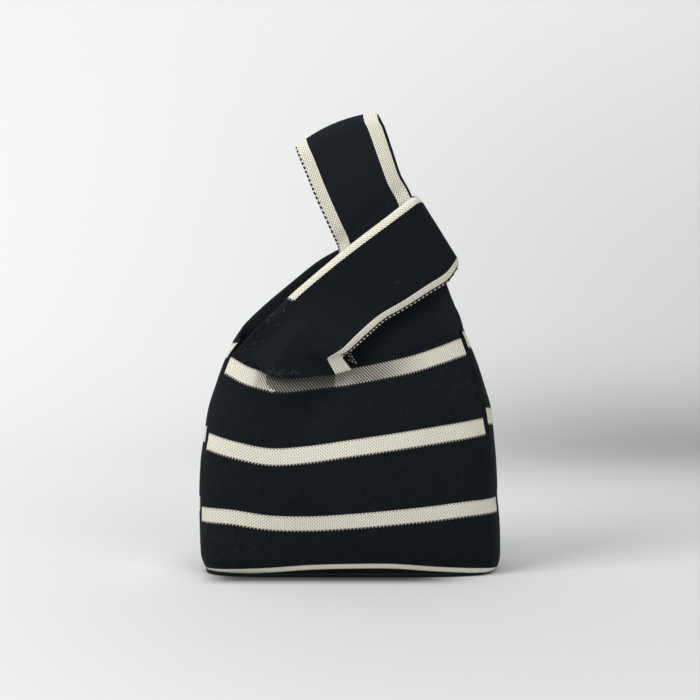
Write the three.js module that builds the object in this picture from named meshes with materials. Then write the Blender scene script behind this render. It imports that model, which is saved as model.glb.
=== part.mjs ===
// A knitted knot bag standing on its base. Millimetres, +Z up, the front faces -Y, base on Z = 0.
// Two knitted panels meet at side seams round a flat base. Each panel grows into two straps above
// its top band. The left straps form the short handle, the right straps form the long handle, and
// the long handle is passed up through the short one. Cream bands lie in shallow beds in the black.
import * as THREE from 'three';

// Driving sizes
const fabric = 3;                 // thickness of the double knit
const clearance = 0.3;            // gap between neighbouring pieces
const bandWidth = 11.8;           // width of the cream bands on the body
const handleBandWidth = 10.8;     // width of the cream bands along the straps' edges
const rolledBandWidth = 8.5;      // what shows of them where the short handle's edges roll back
const edgeRib = 2.8;              // black rib left outside the short handle's lower band
const hemWidth = 3.6;             // what shows of the lowest band, beside the base
const bandDepth = 1.2;            // depth of the cream yarn in the fabric
const bandMargin = 3;             // black knit left above the top band
const seamWidth = 2.4;            // width of the ridge at a side seam
const seamProud = 0.6;            // how far the ridge stands out of the fabric
const hemLift = 0.8;              // height of the panels' lower edge over the ground
const bodyWidth = 224;            // widest part of the body
const bodyDepth = 92;             // front to back, low on the body
const rimLean = 0.4;              // how far the panels' lower rim leans in over its thickness
const neckline = 0.505;           // where the front edge parts into the two straps, left to right
const armholeNotch = 0.05;        // share of the back's top edge left free beside the left seam
const overhang = 8;               // how far the short handle's fold stands out over the top band
const overhangDrop = 6;           // how far that fold hangs below its root
const handleRoll = 5;             // how far the short handle's edges roll back
const rollWidth = 13;             // width of the strap's edge that rolls
const rootGap = 0.8;              // between a strap's root and the panel's top edge
const hingeGap = 0.4;             // between the long handle's two layers where it bends
const crown = 5;                  // rise of the long handle's top fold at its middle
const backStep = 2.4;             // how far the loop's back layer stands out beside its front layer

const black = { color: 0x1b1f23, roughness: 0.95, metalness: 0 };
const cream = { color: 0xddd8c4, roughness: 0.95, metalness: 0 };

// Body outline by height: left and right as shares of half the width, half depth as a share,
// and how square the section is, from a boxy foot to a soft lens where the mouth is drawn in.
const outline = [
  { z: 0, left: 0.925, right: 0.935, depth: 0.88, square: 5 },
  { z: 5, left: 0.965, right: 0.985, depth: 0.95, square: 4.6 },
  { z: 14, left: 0.99, right: 1.01, depth: 0.99, square: 4.2 },
  { z: 30, left: 0.996, right: 1.015, depth: 1, square: 3.8 },
  { z: 54, left: 1.0, right: 1.0, depth: 1, square: 3.4 },
  { z: 80, left: 0.992, right: 0.99, depth: 0.96, square: 3.2 },
  { z: 100, left: 0.968, right: 0.974, depth: 0.88, square: 3 },
  { z: 120, left: 0.94, right: 0.955, depth: 0.77, square: 2.8 },
  { z: 138, left: 0.89, right: 0.91, depth: 0.67, square: 2.6 },
  { z: 157, left: 0.828, right: 0.854, depth: 0.58, square: 2.4 },
  { z: 181, left: 0.72, right: 0.766, depth: 0.46, square: 2.2 },
  { z: 205, left: 0.52, right: 0.67, depth: 0.34, square: 2.1 },
];

// The bands: nominal height in the fabric, width, and the height that the middle line has at nine
// places from the left seam to the right seam.
const bands = {
  front: [
    { at: 4.8, width: hemWidth, heights: [2.8, 4.4, 6.2, 8.5, 9.4, 9.4, 7.2, 5.1, 3] },
    { at: 45, width: bandWidth, heights: [42, 42.6, 39.9, 39.9, 42.1, 44.6, 47.1, 49.3, 49.8] },
    { at: 101, width: bandWidth, heights: [96.3, 94.3, 88.6, 89.2, 94.8, 99.5, 103.1, 106.2, 108.6] },
    { at: 157, width: bandWidth, heights: [152, 145.8, 141.3, 142.8, 147.3, 152.4, 158.2, 163.4, 167.2] },
  ],
  back: [
    { at: 4.8, width: hemWidth, heights: [4.8, 5.6, 6.3, 6.7, 6.8, 6.7, 6.3, 5.6, 4.8] },
    { at: 45, width: bandWidth, heights: [50, 49.7, 49.3, 49, 48.8, 49.1, 50.2, 52, 55] },
    { at: 101, width: bandWidth, heights: [101.5, 101.5, 101.3, 101.2, 101.4, 102.6, 105.4, 110, 116] },
    { at: 157, width: bandWidth, heights: [164.5, 160.3, 157.5, 156.2, 156.7, 158.6, 162, 167, 173] },
  ],
};
const panelTop = 157 + bandWidth / 2 + bandMargin;

// How far forward of the body's widest line each side seam runs, by height.
const seamForward = {
  left: [[0, 18], [40, 20.5], [70, 20.5], [100, 17.5], [140, 12], [160, 11], [172, 12], [205, 10]],
  right: [[0, 18], [50, 18], [90, 22], [115, 20.5], [140, 16], [160, 11], [175, 8.5], [205, 8]],
};

const mix = (a, b, t) => a + (b - a) * t;
const clamp = (x, a, b) => Math.min(b, Math.max(a, x));
const smooth = (x) => { const t = clamp(x, 0, 1); return t * t * (3 - 2 * t); };

function table(rows, x) {
  let i = 0;
  while (i < rows.length - 2 && x > rows[i + 1][0]) i++;
  return mix(rows[i][1], rows[i + 1][1], clamp((x - rows[i][0]) / (rows[i + 1][0] - rows[i][0]), 0, 1));
}

// Uniform Catmull-Rom through a list of numbers or of vectors, t from 0 to 1.
function spline(points, t) {
  const n = points.length - 1;
  const i = clamp(Math.floor(t * n), 0, n - 1);
  const f = t * n - i;
  const p = [points[Math.max(i - 1, 0)], points[i], points[i + 1], points[Math.min(i + 2, n)]];
  const w = [
    ((-f + 2) * f - 1) * f / 2, ((3 * f - 5) * f * f + 2) / 2,
    ((-3 * f + 4) * f + 1) * f / 2, (f - 1) * f * f / 2,
  ];
  const sum = new THREE.Vector3();
  p.forEach((q, k) => sum.addScaledVector(q, w[k]));
  return sum;
}

// One round of the body at a height, from its left end over the front to the right end and back.
const ringSteps = 240;
const rings = new Map();
function ring(z) {
  const key = Math.round(z * 1e5);
  if (rings.has(key)) return rings.get(key);
  const share = (name) => table(outline.map((o) => [o.z, o[name]]), z);
  const left = -share('left') * bodyWidth / 2;
  const right = share('right') * bodyWidth / 2;
  const depth = share('depth') * bodyDepth / 2;
  const power = 2 / share('square');
  const points = [];
  const lengths = [0];
  for (let k = 0; k <= ringSteps; k++) {
    const a = 2 * Math.PI * k / ringSteps;
    const c = -Math.sign(Math.cos(a)) * Math.abs(Math.cos(a)) ** power;
    const s = -Math.sign(Math.sin(a)) * Math.abs(Math.sin(a)) ** power;
    const x = (left + right) / 2 + c * (right - left) / 2;
    points.push([x, s * depth]);
    if (k) lengths.push(lengths[k - 1] + Math.hypot(x - points[k - 1][0], s * depth - points[k - 1][1]));
  }
  const made = { points, lengths, half: lengths[ringSteps / 2], whole: lengths[ringSteps] };
  rings.set(key, made);
  return made;
}

function ringPoint(z, distance) {
  const { points, lengths, whole } = ring(z);
  const d = ((distance % whole) + whole) % whole;
  let lo = 0;
  let hi = ringSteps;
  while (hi - lo > 1) {
    const mid = (lo + hi) >> 1;
    if (lengths[mid] <= d) lo = mid; else hi = mid;
  }
  const t = (d - lengths[lo]) / (lengths[hi] - lengths[lo] || 1);
  return new THREE.Vector3(mix(points[lo][0], points[hi][0], t), mix(points[lo][1], points[hi][1], t), z);
}

// Where fabric height v lies at place u across a panel: the bands sag, the knit between follows.
function sagged(side, u, v) {
  const across = clamp(side === 'front' ? u : 1 - u, 0, 1);
  const keys = [[0, 0]];
  for (const { at, width, heights } of bands[side]) {
    const shift = spline(heights.map((h) => new THREE.Vector3(h, 0, 0)), across).x - at;
    keys.push([at - width / 2, shift], [at + width / 2, shift]);
  }
  return Math.max(v + table(keys, v), v * 0.5);
}

// A panel's outer face. u runs left to right on the front and right to left on the back.
const seamHalf = seamWidth / 2 + 2 * clearance;
function panelFace(side, u, v) {
  const z = hemLift + sagged(side, u, v);
  const { half, whole } = ring(z);
  const l = table(seamForward.left, z);
  const r = table(seamForward.right, z);
  const from = side === 'front' ? l + seamHalf : half - r + seamHalf;
  const to = side === 'front' ? half - r - seamHalf : whole + l - seamHalf;
  return ringPoint(z, mix(from, to, u));
}

// A sheet of fabric: a grid of points on its outer face, thickened inwards. Cells that sunk()
// names lie lower by bed, which makes the bed of a cream band. lean slants the sheet's two ends:
// it shifts the inner face's first and last rows along the sheet.
function sheet(face, us, vs, { top = 0, thick = fabric, bed = 0, sunk = () => false, lean = [0, 0] } = {}) {
  const nu = us.length - 1;
  const nv = vs.length - 1;
  const du = (us[nu] - us[0]) * 3e-3;
  const dv = (vs[nv] - vs[0]) * 3e-3;
  const place = [];
  const normal = [];
  const along = [];
  for (let j = 0; j <= nv; j++) {
    for (let i = 0; i <= nu; i++) {
      const at = (a, b) => face(clamp(us[i] + a * du, us[0], us[nu]), clamp(vs[j] + b * dv, vs[0], vs[nv]));
      const x = at(1, 0).sub(at(-1, 0)).normalize();
      const y = at(0, 1).sub(at(0, -1)).normalize();
      place.push(face(us[i], vs[j]));
      normal.push(new THREE.Vector3().crossVectors(x, y).normalize());
      along.push(y);
    }
  }
  const positions = [];
  const index = new Map();
  const depths = [top, top + bed, top + thick];
  const vertex = (i, j, level) => {
    const key = (j * (nu + 1) + i) * 3 + level;
    if (!index.has(key)) {
      const g = j * (nu + 1) + i;
      const p = place[g].clone().addScaledVector(normal[g], -depths[level]);
      const share = (depths[level] - top) / thick;
      if (j === 0) p.addScaledVector(along[g], lean[0] * share);
      if (j === nv) p.addScaledVector(along[g], lean[1] * share);
      index.set(key, positions.length / 3);
      positions.push(p.x, p.y, p.z);
    }
    return index.get(key);
  };
  const triangles = [];
  const quad = (a, b, c, d) => triangles.push(a, b, c, a, c, d);
  const level = (i, j) => (sunk((us[i] + us[i + 1]) / 2, (vs[j] + vs[j + 1]) / 2) ? 1 : 0);
  const wall = (p, q, high, low) => {
    if (high < low) quad(vertex(...p, high), vertex(...p, low), vertex(...q, low), vertex(...q, high));
  };
  const outside = (p, q, from) => {
    if (bed && from === 0) wall(p, q, 0, 1);
    wall(p, q, bed ? 1 : 0, 2);
  };
  for (let j = 0; j < nv; j++) {
    for (let i = 0; i < nu; i++) {
      const l = level(i, j);
      quad(vertex(i, j, l), vertex(i + 1, j, l), vertex(i + 1, j + 1, l), vertex(i, j + 1, l));
      quad(vertex(i, j, 2), vertex(i, j + 1, 2), vertex(i + 1, j + 1, 2), vertex(i + 1, j, 2));
      const edges = [
        [[i, j], [i + 1, j], i, j - 1], [[i + 1, j], [i + 1, j + 1], i + 1, j],
        [[i + 1, j + 1], [i, j + 1], i, j + 1], [[i, j + 1], [i, j], i - 1, j],
      ];
      for (const [p, q, ni, nj] of edges) {
        if (ni < 0 || nj < 0 || ni >= nu || nj >= nv) outside(p, q, l);
        else if (l < level(ni, nj)) wall(p, q, 0, 1);
      }
    }
  }
  const geometry = new THREE.BufferGeometry();
  geometry.setAttribute('position', new THREE.Float32BufferAttribute(positions, 3));
  geometry.setIndex(triangles);
  geometry.computeVertexNormals();
  return geometry;
}

const bag = new THREE.Group();
function add(name, geometry, finish) {
  const mesh = new THREE.Mesh(geometry, new THREE.MeshStandardMaterial(finish));
  mesh.name = name;
  bag.add(mesh);
}

// Grid lines from a to b, with extra lines at the edges of the beds that cross them.
function lines(a, b, count, cuts = []) {
  const even = Array.from({ length: count + 1 }, (_, k) => mix(a, b, k / count));
  const apart = (b - a) / count * 0.3;
  const inside = cuts.filter((c) => c > a && c < b);
  const kept = even.filter((e, k) => k === 0 || k === count || inside.every((c) => Math.abs(c - e) > apart));
  return [...kept, ...inside].sort((p, q) => p - q);
}

// Panels with their bands. A band shares its panel's grid lines, so that it lies flat in its bed.
const within = (all, [a, b]) => all.filter((x) => x > a - 1e-9 && x < b + 1e-9);
const panelColumns = 20;
const panelRows = 12;
for (const side of ['front', 'back']) {
  const edges = bands[side].map((b) => [b.at - b.width / 2, b.at + b.width / 2]);
  const beds = edges.map(([a, b]) => [a - clearance, b + clearance]);
  const face = (u, v) => panelFace(side, u, v);
  const us = lines(0, 1, panelColumns);
  const vs = lines(0, panelTop, panelRows, [...edges, ...beds].flat());
  add(`${side}_panel`, sheet(face, us, vs, {
    bed: bandDepth + clearance,
    sunk: (u, v) => beds.some(([a, b]) => v > a && v < b),
  }), black);
  edges.forEach((edge, k) => {
    add(`${side}_band_${k + 1}`, sheet(face, us, within(vs, edge), { thick: bandDepth }), cream);
  });
}

// Base, flat on the ground inside the panels' lower edge
const basePoints = 48;
const foot = ring(0);
const baseInset = fabric + clearance - rimLean;
const baseShape = new THREE.Shape(Array.from({ length: basePoints }, (_, k) => {
  const p = ringPoint(0, foot.whole * k / basePoints);
  const q = ringPoint(0, foot.whole * (k + 0.1) / basePoints).sub(ringPoint(0, foot.whole * (k - 0.1) / basePoints));
  return new THREE.Vector2(p.x, p.y).addScaledVector(new THREE.Vector2(-q.y, q.x).normalize(), baseInset);
}));
add('base_panel', new THREE.ExtrudeGeometry(baseShape, { depth: fabric, bevelEnabled: false }), black);

// Side seams, each a ridge between the panels' edges from the foot to the armhole
for (const side of ['left', 'right']) {
  const top = bands.front[3].heights.at(side === 'left' ? 0 : -1) + bandWidth / 2;
  const face = (u, v) => {
    const z = hemLift + v;
    const middle = side === 'left' ? table(seamForward.left, z) : ring(z).half - table(seamForward.right, z);
    return ringPoint(z, middle + (u - 0.5) * seamWidth);
  };
  add(`${side}_side_seam`, sheet(face, [0, 0.5, 1], lines(0, top, 24), {
    top: -seamProud, thick: fabric + seamProud,
  }), black);
}

// A strap between two edge lines, w from edge a to edge b. Its edges may roll back, and its
// middle may be crowned along the way named by rise.
function strapFace(stations, t, w, { roll = 0, rise = new THREE.Vector3() } = {}) {
  const edge = (key, k) => spline(stations.map((s) => new THREE.Vector3(...s[key])), clamp(k, 0, 1));
  const across = edge('b', t).sub(edge('a', t));
  const run = edge('a', t + 1e-3).lerp(edge('b', t + 1e-3), w)
    .sub(edge('a', t - 1e-3).lerp(edge('b', t - 1e-3), w));
  const out = new THREE.Vector3().crossVectors(across, run).normalize();
  const fromEdge = Math.min(w, 1 - w) * across.length();
  const lift = spline(stations.map((s) => new THREE.Vector3(s.crown ?? 0, 0, 0)), t).x;
  return edge('a', t).addScaledVector(across, w)
    .addScaledVector(out, -roll * clamp(1 - fromEdge / rollWidth, 0, 1) ** 2)
    .addScaledVector(rise, lift * 4 * w * (1 - w));
}

// A strap whose end grows out of a panel's top edge: the end row is drawn onto that edge.
function rooted(face, edge, t, w, reach) {
  const p = face(t, w);
  const hold = 1 - smooth(t / reach);
  if (hold === 0) return p;
  const shift = edge(w).sub(face(0, w));
  shift.z += rootGap;
  return p.addScaledVector(shift, hold);
}

// A strap with cream bands along its edges. Each band is a span of w and of t in the strap.
function addStrap(name, face, columns, rows, spans, lean) {
  const gapW = clearance / strapWidth;
  const gapT = clearance / rows.length;
  const bedsOf = spans.map(({ w, t }) => ({
    w: [w[0] <= 0 ? -1 : w[0] - gapW, w[1] >= 1 ? 2 : w[1] + gapW],
    t: [t[0] <= 0 ? -1 : t[0] - gapT, t[1] >= 1 ? 2 : t[1] + gapT],
  }));
  const cutsW = [...bedsOf, ...spans].flatMap((b) => b.w).concat(spans.map((s) => (s.w[0] + s.w[1]) / 2));
  const us = lines(0, 1, columns, [...new Set(cutsW)]);
  const vs = lines(0, 1, rows.count, [...new Set([...bedsOf, ...spans].flatMap((b) => b.t))]);
  add(name, sheet(face, us, vs, {
    bed: bandDepth + clearance,
    sunk: (u, v) => bedsOf.some((b) => u > b.w[0] && u < b.w[1] && v > b.t[0] && v < b.t[1]),
    lean,
  }), black);
  for (const { label, w, t } of spans) {
    const ends = [t[0] <= 0 ? lean?.[0] : 0, t[1] >= 1 ? lean?.[1] : 0].map((x) => (x ?? 0) * bandDepth / fabric);
    add(`${name}_${label}_band`, sheet(face, within(us, w), within(vs, t), { thick: bandDepth, lean: ends }), cream);
  }
}

// Short handle: front root, over the long handle to the fold at the right, and behind it back
const shortLoop = [
  { a: [-86.5, -10, 163], b: [1, -27, 157] },
  { a: [-80, -16, 170], b: [-1, -30.5, 162] },
  { a: [-63, -21, 188.5], b: [6.5, -31.5, 171] },
  { a: [-44, -21.5, 207], b: [17.5, -28.5, 180.5] },
  { a: [-21, -20.5, 226.5], b: [29, -24, 189.5] },
  { a: [2, -19, 243.5], b: [45, -19.5, 195.5] },
  { a: [27, -16.5, 263], b: [61.5, -16.5, 204] },
  { a: [46.5, -12, 278.5], b: [76, -11.5, 212] },
  { a: [51.5, 0, 281], b: [84.5, 0, 223.5] },
  { a: [46.5, 12, 278], b: [75.5, 11.5, 214] },
  { a: [27, 16.5, 261.5], b: [60, 16.5, 207] },
  { a: [2, 19, 244.5], b: [43, 19.5, 200] },
  { a: [-22, 21, 231], b: [27, 24, 193] },
  { a: [-46, 21, 212], b: [15, 27.5, 184] },
  { a: [-66, 19, 195], b: [3, 28.5, 177] },
  { a: [-80.5, 12.5, 180.5], b: [-1, 27.5, 171] },
  { a: [-86.5, 4.5, 170.5], b: [1, 25, 165] },
];
const shortStep = 1 / (shortLoop.length - 1);
function shortFace(w, t) {
  const fromRoot = Math.min(t, 1 - t);
  const side = t < 0.5 ? 'front' : 'back';
  const share = (k) => (side === 'front' ? (neckline - neckGap) * k
    : 1 - mix(armholeNotch, neckline - neckGap, k));
  const edge = (k) => panelFace(side, share(k), panelTop);
  const roll = (k) => handleRoll * smooth(k / shortStep / 2 - 1.2) * (1 - 0.9 * smooth(k / shortStep - 5.4));
  const face = (k, x) => strapFace(shortLoop, side === 'front' ? k : 1 - k, x, { roll: roll(k) });
  const p = rooted(face, edge, fromRoot, w, 1.4 * shortStep);
  const fold = smooth((w - 0.2) / 0.12) * (1 - smooth((w - 0.86) / 0.14)) * (side === 'front' ? 1 : 0);
  const out = smooth(fromRoot / shortStep * 2.4) * (1 - smooth(fromRoot / shortStep / 3 - 0.3));
  const drop = Math.exp(-(((fromRoot / shortStep - 0.42) / 0.3) ** 2)) - Math.exp(-((0.42 / 0.3) ** 2));
  p.y -= overhang * fold * out;
  p.z -= overhangDrop * fold * drop * (fromRoot < shortStep * 1.5 ? 1 : 0);
  return p;
}
const strapWidth = 66;
const strapBand = handleBandWidth / strapWidth;
const rolledBand = rolledBandWidth / strapWidth;
const neckGap = 2 * clearance / 200;
addStrap('short_handle', shortFace, 8, { count: 36, length: 160 }, [
  { label: 'outer', w: [0, rolledBand], t: [3 * shortStep, 13 * shortStep] },
  { label: 'inner', w: [1 - rolledBand, 1 - edgeRib / strapWidth], t: [0.6 * shortStep, 14.6 * shortStep] },
]);

// The line that the long handle bends along, just above the short handle's upper edge
const hinge = {
  at: new THREE.Vector3(20, 0, 265.8), along: new THREE.Vector3(0.8, 0, 0.6), up: new THREE.Vector3(-0.6, 0, 0.8),
  left: -36.4, right: 30.3, range: 60,
};
const layer = fabric + hingeGap / 2;
const rootEnd = layer * Math.tan(THREE.MathUtils.degToRad(hinge.range / 2)) + 3 * clearance;
const onHinge = (k, y, s) => hinge.at.clone().addScaledVector(hinge.along, k).addScaledVector(hinge.up, s)
  .add(new THREE.Vector3(0, y, 0)).toArray();

// Long handle's roots: from each panel's top edge up between the short handle's layers
const rootFront = [
  { a: [4, -27, 157], b: [80.5, -10, 178] },
  { a: [0, -20, 172], b: [81, -8.8, 191] },
  { a: [-2, -11.5, 194], b: [76, -7.4, 207] },
  { a: [-4.5, -8, 216], b: [68, -6.5, 228] },
  { a: [-7, -6, 234], b: [55, -6, 257] },
  { a: onHinge(hinge.left, -layer, -rootEnd), b: onHinge(hinge.right, -layer, -rootEnd) },
];
const rootBack = rootFront.map(({ a, b }) => ({ a: [b[0], -b[1], b[2]], b: [a[0], -a[1], a[2]] }));
for (const side of ['front', 'back']) {
  const stations = side === 'front' ? rootFront : rootBack;
  const edge = (w) => panelFace(side, side === 'front' ? mix(neckline + neckGap, 1, w) : (1 - neckline - neckGap) * w, panelTop);
  const face = (w, t) => rooted((k, x) => strapFace(stations, k, x), edge, t, w, 0.45);
  const inner = side === 'front' ? [0, strapBand] : [1 - strapBand, 1];
  const outer = side === 'front' ? [1 - strapBand, 1] : [0, strapBand];
  addStrap(`long_handle_${side}_root`, face, 8, { count: 14, length: 110 }, [
    { label: 'inner', w: inner, t: [0.4, 1] },
    { label: 'outer', w: outer, t: [0.55, 1] },
  ], [0, -2 * clearance]);
}

// Long handle's free loop: up from the bend, over the top fold and down behind
const loopFront = [
  { a: onHinge(hinge.left, -layer, 0), b: onHinge(hinge.right, -layer, 0) },
  { a: onHinge(hinge.left + 1, -layer - 0.2, 4), b: onHinge(hinge.right + 0.8, -layer - 0.2, 4), apart: 0.1 },
  { a: onHinge(hinge.left + 3.4, -6.8, 13), b: onHinge(hinge.right + 2.5, -6.8, 13), apart: 0.7 },
  { a: [-25, -8.5, 280], b: [32.1, -8.5, 311.5], crown: 0.2 * crown, apart: 1 },
  { a: [-34, -7.5, 302], b: [25.1, -7.5, 330], crown: 0.7 * crown, apart: 1 },
  { a: [-38, -5.5, 311], b: [22.1, -5.5, 336.5], crown, apart: 1 },
];
const topFold = { a: [-40, 0, 316], b: [21.5, 0, 342], crown };
const behind = loopFront.map(({ a, b, crown: lift, apart = 0 }) => (
  { a: [a[0], -a[1], a[2]], b: [b[0] + backStep * apart, -b[1], b[2]], crown: lift }));
const loop = [...loopFront, topFold, ...behind.reverse()];
const rise = new THREE.Vector3(-0.39, 0, 0.92);
addStrap('long_handle_loop', (w, t) => strapFace(loop, t, w, { rise }), 8, { count: 26, length: 150 }, [
  { label: 'left', w: [0, strapBand], t: [0, 1] },
  { label: 'right', w: [1 - strapBand, 1], t: [0, 1] },
], [-3.1, 3.1]);

export default bag;
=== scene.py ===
"""A knitted knot bag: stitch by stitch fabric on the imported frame, on a pale studio floor."""
import math
import bpy
import numpy as np
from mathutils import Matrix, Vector


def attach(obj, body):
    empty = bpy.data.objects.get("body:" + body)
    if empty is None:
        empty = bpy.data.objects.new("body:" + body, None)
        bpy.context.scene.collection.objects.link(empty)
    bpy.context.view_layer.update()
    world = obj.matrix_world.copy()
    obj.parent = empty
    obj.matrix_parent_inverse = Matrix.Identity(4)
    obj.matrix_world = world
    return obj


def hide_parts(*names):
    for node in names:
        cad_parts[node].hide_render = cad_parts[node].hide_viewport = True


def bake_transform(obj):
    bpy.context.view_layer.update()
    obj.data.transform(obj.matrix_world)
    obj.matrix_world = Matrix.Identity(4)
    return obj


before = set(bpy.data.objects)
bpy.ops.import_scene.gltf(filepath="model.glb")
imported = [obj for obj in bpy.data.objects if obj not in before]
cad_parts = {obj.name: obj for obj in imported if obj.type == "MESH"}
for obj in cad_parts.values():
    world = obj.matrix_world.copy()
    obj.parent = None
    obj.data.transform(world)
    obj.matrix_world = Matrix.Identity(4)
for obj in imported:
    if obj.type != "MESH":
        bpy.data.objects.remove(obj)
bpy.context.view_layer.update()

# Sizes, in millimetres. They follow the CAD part, apart from small changes made to fit the photo.
MM = 0.001
FABRIC = 3.0                     # thickness of the double knit
BAND = 11.3                      # width of a cream band on the body
LOW_BAND = 10.5                  # the same for the lowest band on the front
HEM = 3.4                        # what shows of the hem beside the base
HEM_LIFT = 0.8                   # height of the panels' lower edge over the ground
BODY_WIDTH = 224.0
BODY_DEPTH = 92.0
BODY_TOP = 205.0                 # height where the body's rounds end
BASE_ENDS = (0.955, 0.965)       # how far the base reaches left and right, as shares of half the width
BASE_DEPTH = 0.93                # its share of the body's depth
BASE_SQUARE = 5.0                # how square its corners are
BASE_LIFT = 0.35
BASE_THICK = 2.6
SEAM_WIDTH = 2.4                 # width of the ridge at a side seam
SEAM_SPREAD = 1.15               # how much wider than that its stitches lie
PANEL_TOP = 165.9                # height of a panel, measured in the fabric
NECKLINE = 0.505                 # where the front edge parts into the two straps, left to right
NECK_GAP = 0.003                 # share of that edge left free between the straps
ARMHOLE = 0.05                   # share of the back's top edge left free beside the left seam
ROLL_WIDTH = 9.0                 # width of a strap's rolled edge
ROLL_TURN = 1.66                 # how far round it rolls, in radians

# The line that the long handle swings about, just above the short handle's upper edge
HINGE = np.array([20.0, 0.0, 265.8])
ALONG = np.array([0.8, 0.0, 0.6])
UP = np.array([-0.6, 0.0, 0.8])

# The knit
COURSE = 2.3                     # height of a stitch
PANEL_WALES, SHORT_WALES, LONG_WALES = 176, 56, 52
ACROSS, TALL = 4, 2              # columns of points for each wale, rows for each course
COARSE = 8                       # columns or rows of the outer face for one of the inner face
LEVEL_ROWS = 12                  # rows at the hem whose border runs level
HEM_LIGHT_ROWS = 8                   # rows at the hem whose pits are made lighter: painted light on the hem, which lies in shade by the floor
EDGE_ROUND = 1.3                 # radius of a sheet's rounded border
SEAM_WALES = 3
BASE_WALES, BASE_COURSES = 120, 40

# Heights of a stitch's parts over the fabric, in millimetres, and how dark its pits are
LEG = 0.24
CENTRE_CREST, CENTRE_LOW = 0.1, -0.05
GROOVE_CREST, GROOVE_LOW = -0.42, -0.1
UNEVEN_POINT, UNEVEN_WALE, UNEVEN_PLACE = 0.035, 0.03, 0.02
PIT, PIT_BESIDE, PIT_HEM_LIGHT = 1.0, 0.55, 0.6

# What colour() says of a stitch: its yarn, a speck of cream back yarn, a chain edge, or the
# staggered dots of a reverse side. PEEPS is the shade of one that lets its back yarn show.
BLACK, CREAM, SPECK, CHAIN, REVERSE = 0.0, 1.0, -1.0, 2.0, 3.0
PEEPS = 2.0
rng = np.random.default_rng(7)

OUTLINE = np.array([  # height, left, right, depth, squareness
    [0, 0.925, 0.952, 0.88, 5], [5, 0.965, 1.002, 0.95, 4.6], [14, 0.99, 1.016, 0.99, 4.2],
    [30, 0.996, 1.015, 1, 3.8], [54, 1.0, 1.0, 1, 3.4], [80, 0.992, 0.99, 0.96, 3.2],
    [100, 0.968, 0.974, 0.88, 3], [120, 0.94, 0.955, 0.77, 2.8], [138, 0.89, 0.91, 0.67, 2.6],
    [157, 0.828, 0.854, 0.58, 2.4], [181, 0.72, 0.766, 0.46, 2.2], [BODY_TOP, 0.52, 0.67, 0.34, 2.1]])

BANDS = {  # nominal height, width, and the middle line's height at nine places from left to right
    "front": [(4.0, HEM, [1.3, 2.9, 4.7, 7, 7.9, 7.9, 5.7, 3.6, 1.5]),
              (45, LOW_BAND, [43.1, 43.6, 40.2, 39.7, 41.5, 44, 46.7, 49.6, 50.2]),
              (101, BAND, [97.6, 93.3, 89.1, 90.6, 94.6, 98.6, 102.4, 105.8, 108.8]),
              (157, BAND, [154.2, 146.8, 141.3, 142.8, 146.2, 151, 156, 162.4, 168])],
    "back": [(4.0, HEM, [4, 4.8, 5.5, 5.9, 6, 5.9, 5.5, 4.8, 4]),
             (45, BAND, [50, 49.7, 49.3, 49, 48.8, 49.1, 50.2, 52, 55]),
             (101, BAND, [101.5, 101.5, 101.3, 101.2, 101.4, 102.6, 105.4, 110, 116]),
             (157, BAND, [164.5, 160.3, 157.5, 156.2, 156.7, 158.6, 162, 167, 173])]}
TOP_BAND = 3                     # place of the top band in those lists

SEAM_FORWARD = {  # heights, and how far forward of the body's widest line the seam runs there
    "left": ([0, 40, 70, 100, 140, 160, 172, 205], [18, 20.5, 20.5, 17.5, 10.5, 8, 12, 10]),
    "right": ([0, 50, 90, 115, 140, 160, 175, 205], [18, 18, 22, 20.5, 16, 11, 8.5, 8])}

CREASES = {  # how far out, x at a height, lean of that line, spread, where it starts, over, easing
    "front": [(-7.4, -37, 101, 0.45, 22, 82, 46, 0.3), (3.4, -80, 0, 0, 18, 70, 45, 0)],
    "back": [(-4.0, -30, 120, -0.3, 18, 50, 70, 0)]}
SWELLS = {  # how far out, x and z of the middle, lean, spread in x and z
    "front": [(0.8, 22.5, 95, 0.5, 45, 40), (2.4, -58, 96, 0, 28, 26),
              (-1.5, 75, 95, 0, 22, 30), (1.2, -60, 62, 0, 40, 14)],
    "back": [(2.0, 35, 90, 0, 40, 40)]}


def smooth(x):
    t = np.clip(x, 0, 1)
    return t * t * (3 - 2 * t)


def ramp(x, start, length):
    """From 0 up to 1, beginning at start."""
    return smooth((x - start) / length)


def fade(x, start, length):
    """From 1 down to 0, beginning at start."""
    return 1 - ramp(x, start, length)


def bell(x, middle, spread, power=2):
    return np.exp(-np.abs((x - middle) / spread) ** power)


def hermite(xs, ys, x):
    """Smooth curve through stations. ys may vary over x: one array per station."""
    xs = np.asarray(xs, float)
    x = np.clip(x, xs[0], xs[-1])
    ys = np.stack([np.broadcast_to(np.asarray(y, float), x.shape) for y in ys])
    d = np.diff(ys, axis=0) / np.diff(xs).reshape(-1, *([1] * x.ndim))
    before, after = d[:-1], d[1:]
    mean = 2 * after * before / (after + before + 1e-12)
    slopes = np.concatenate([d[:1], np.where(after * before > 0, mean, 0), d[-1:]])
    i = np.clip(np.searchsorted(xs, x, side="right") - 1, 0, len(xs) - 2)
    h = xs[i + 1] - xs[i]
    t = (x - xs[i]) / h

    def at(values, k):
        return np.take_along_axis(values, k[None], 0)[0]

    t2, t3 = t * t, t * t * t
    return ((2 * t3 - 3 * t2 + 1) * at(ys, i) + (t3 - 2 * t2 + t) * h * at(slopes, i)
            + (3 * t2 - 2 * t3) * at(ys, i + 1) + (t3 - t2) * h * at(slopes, i + 1))


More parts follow.
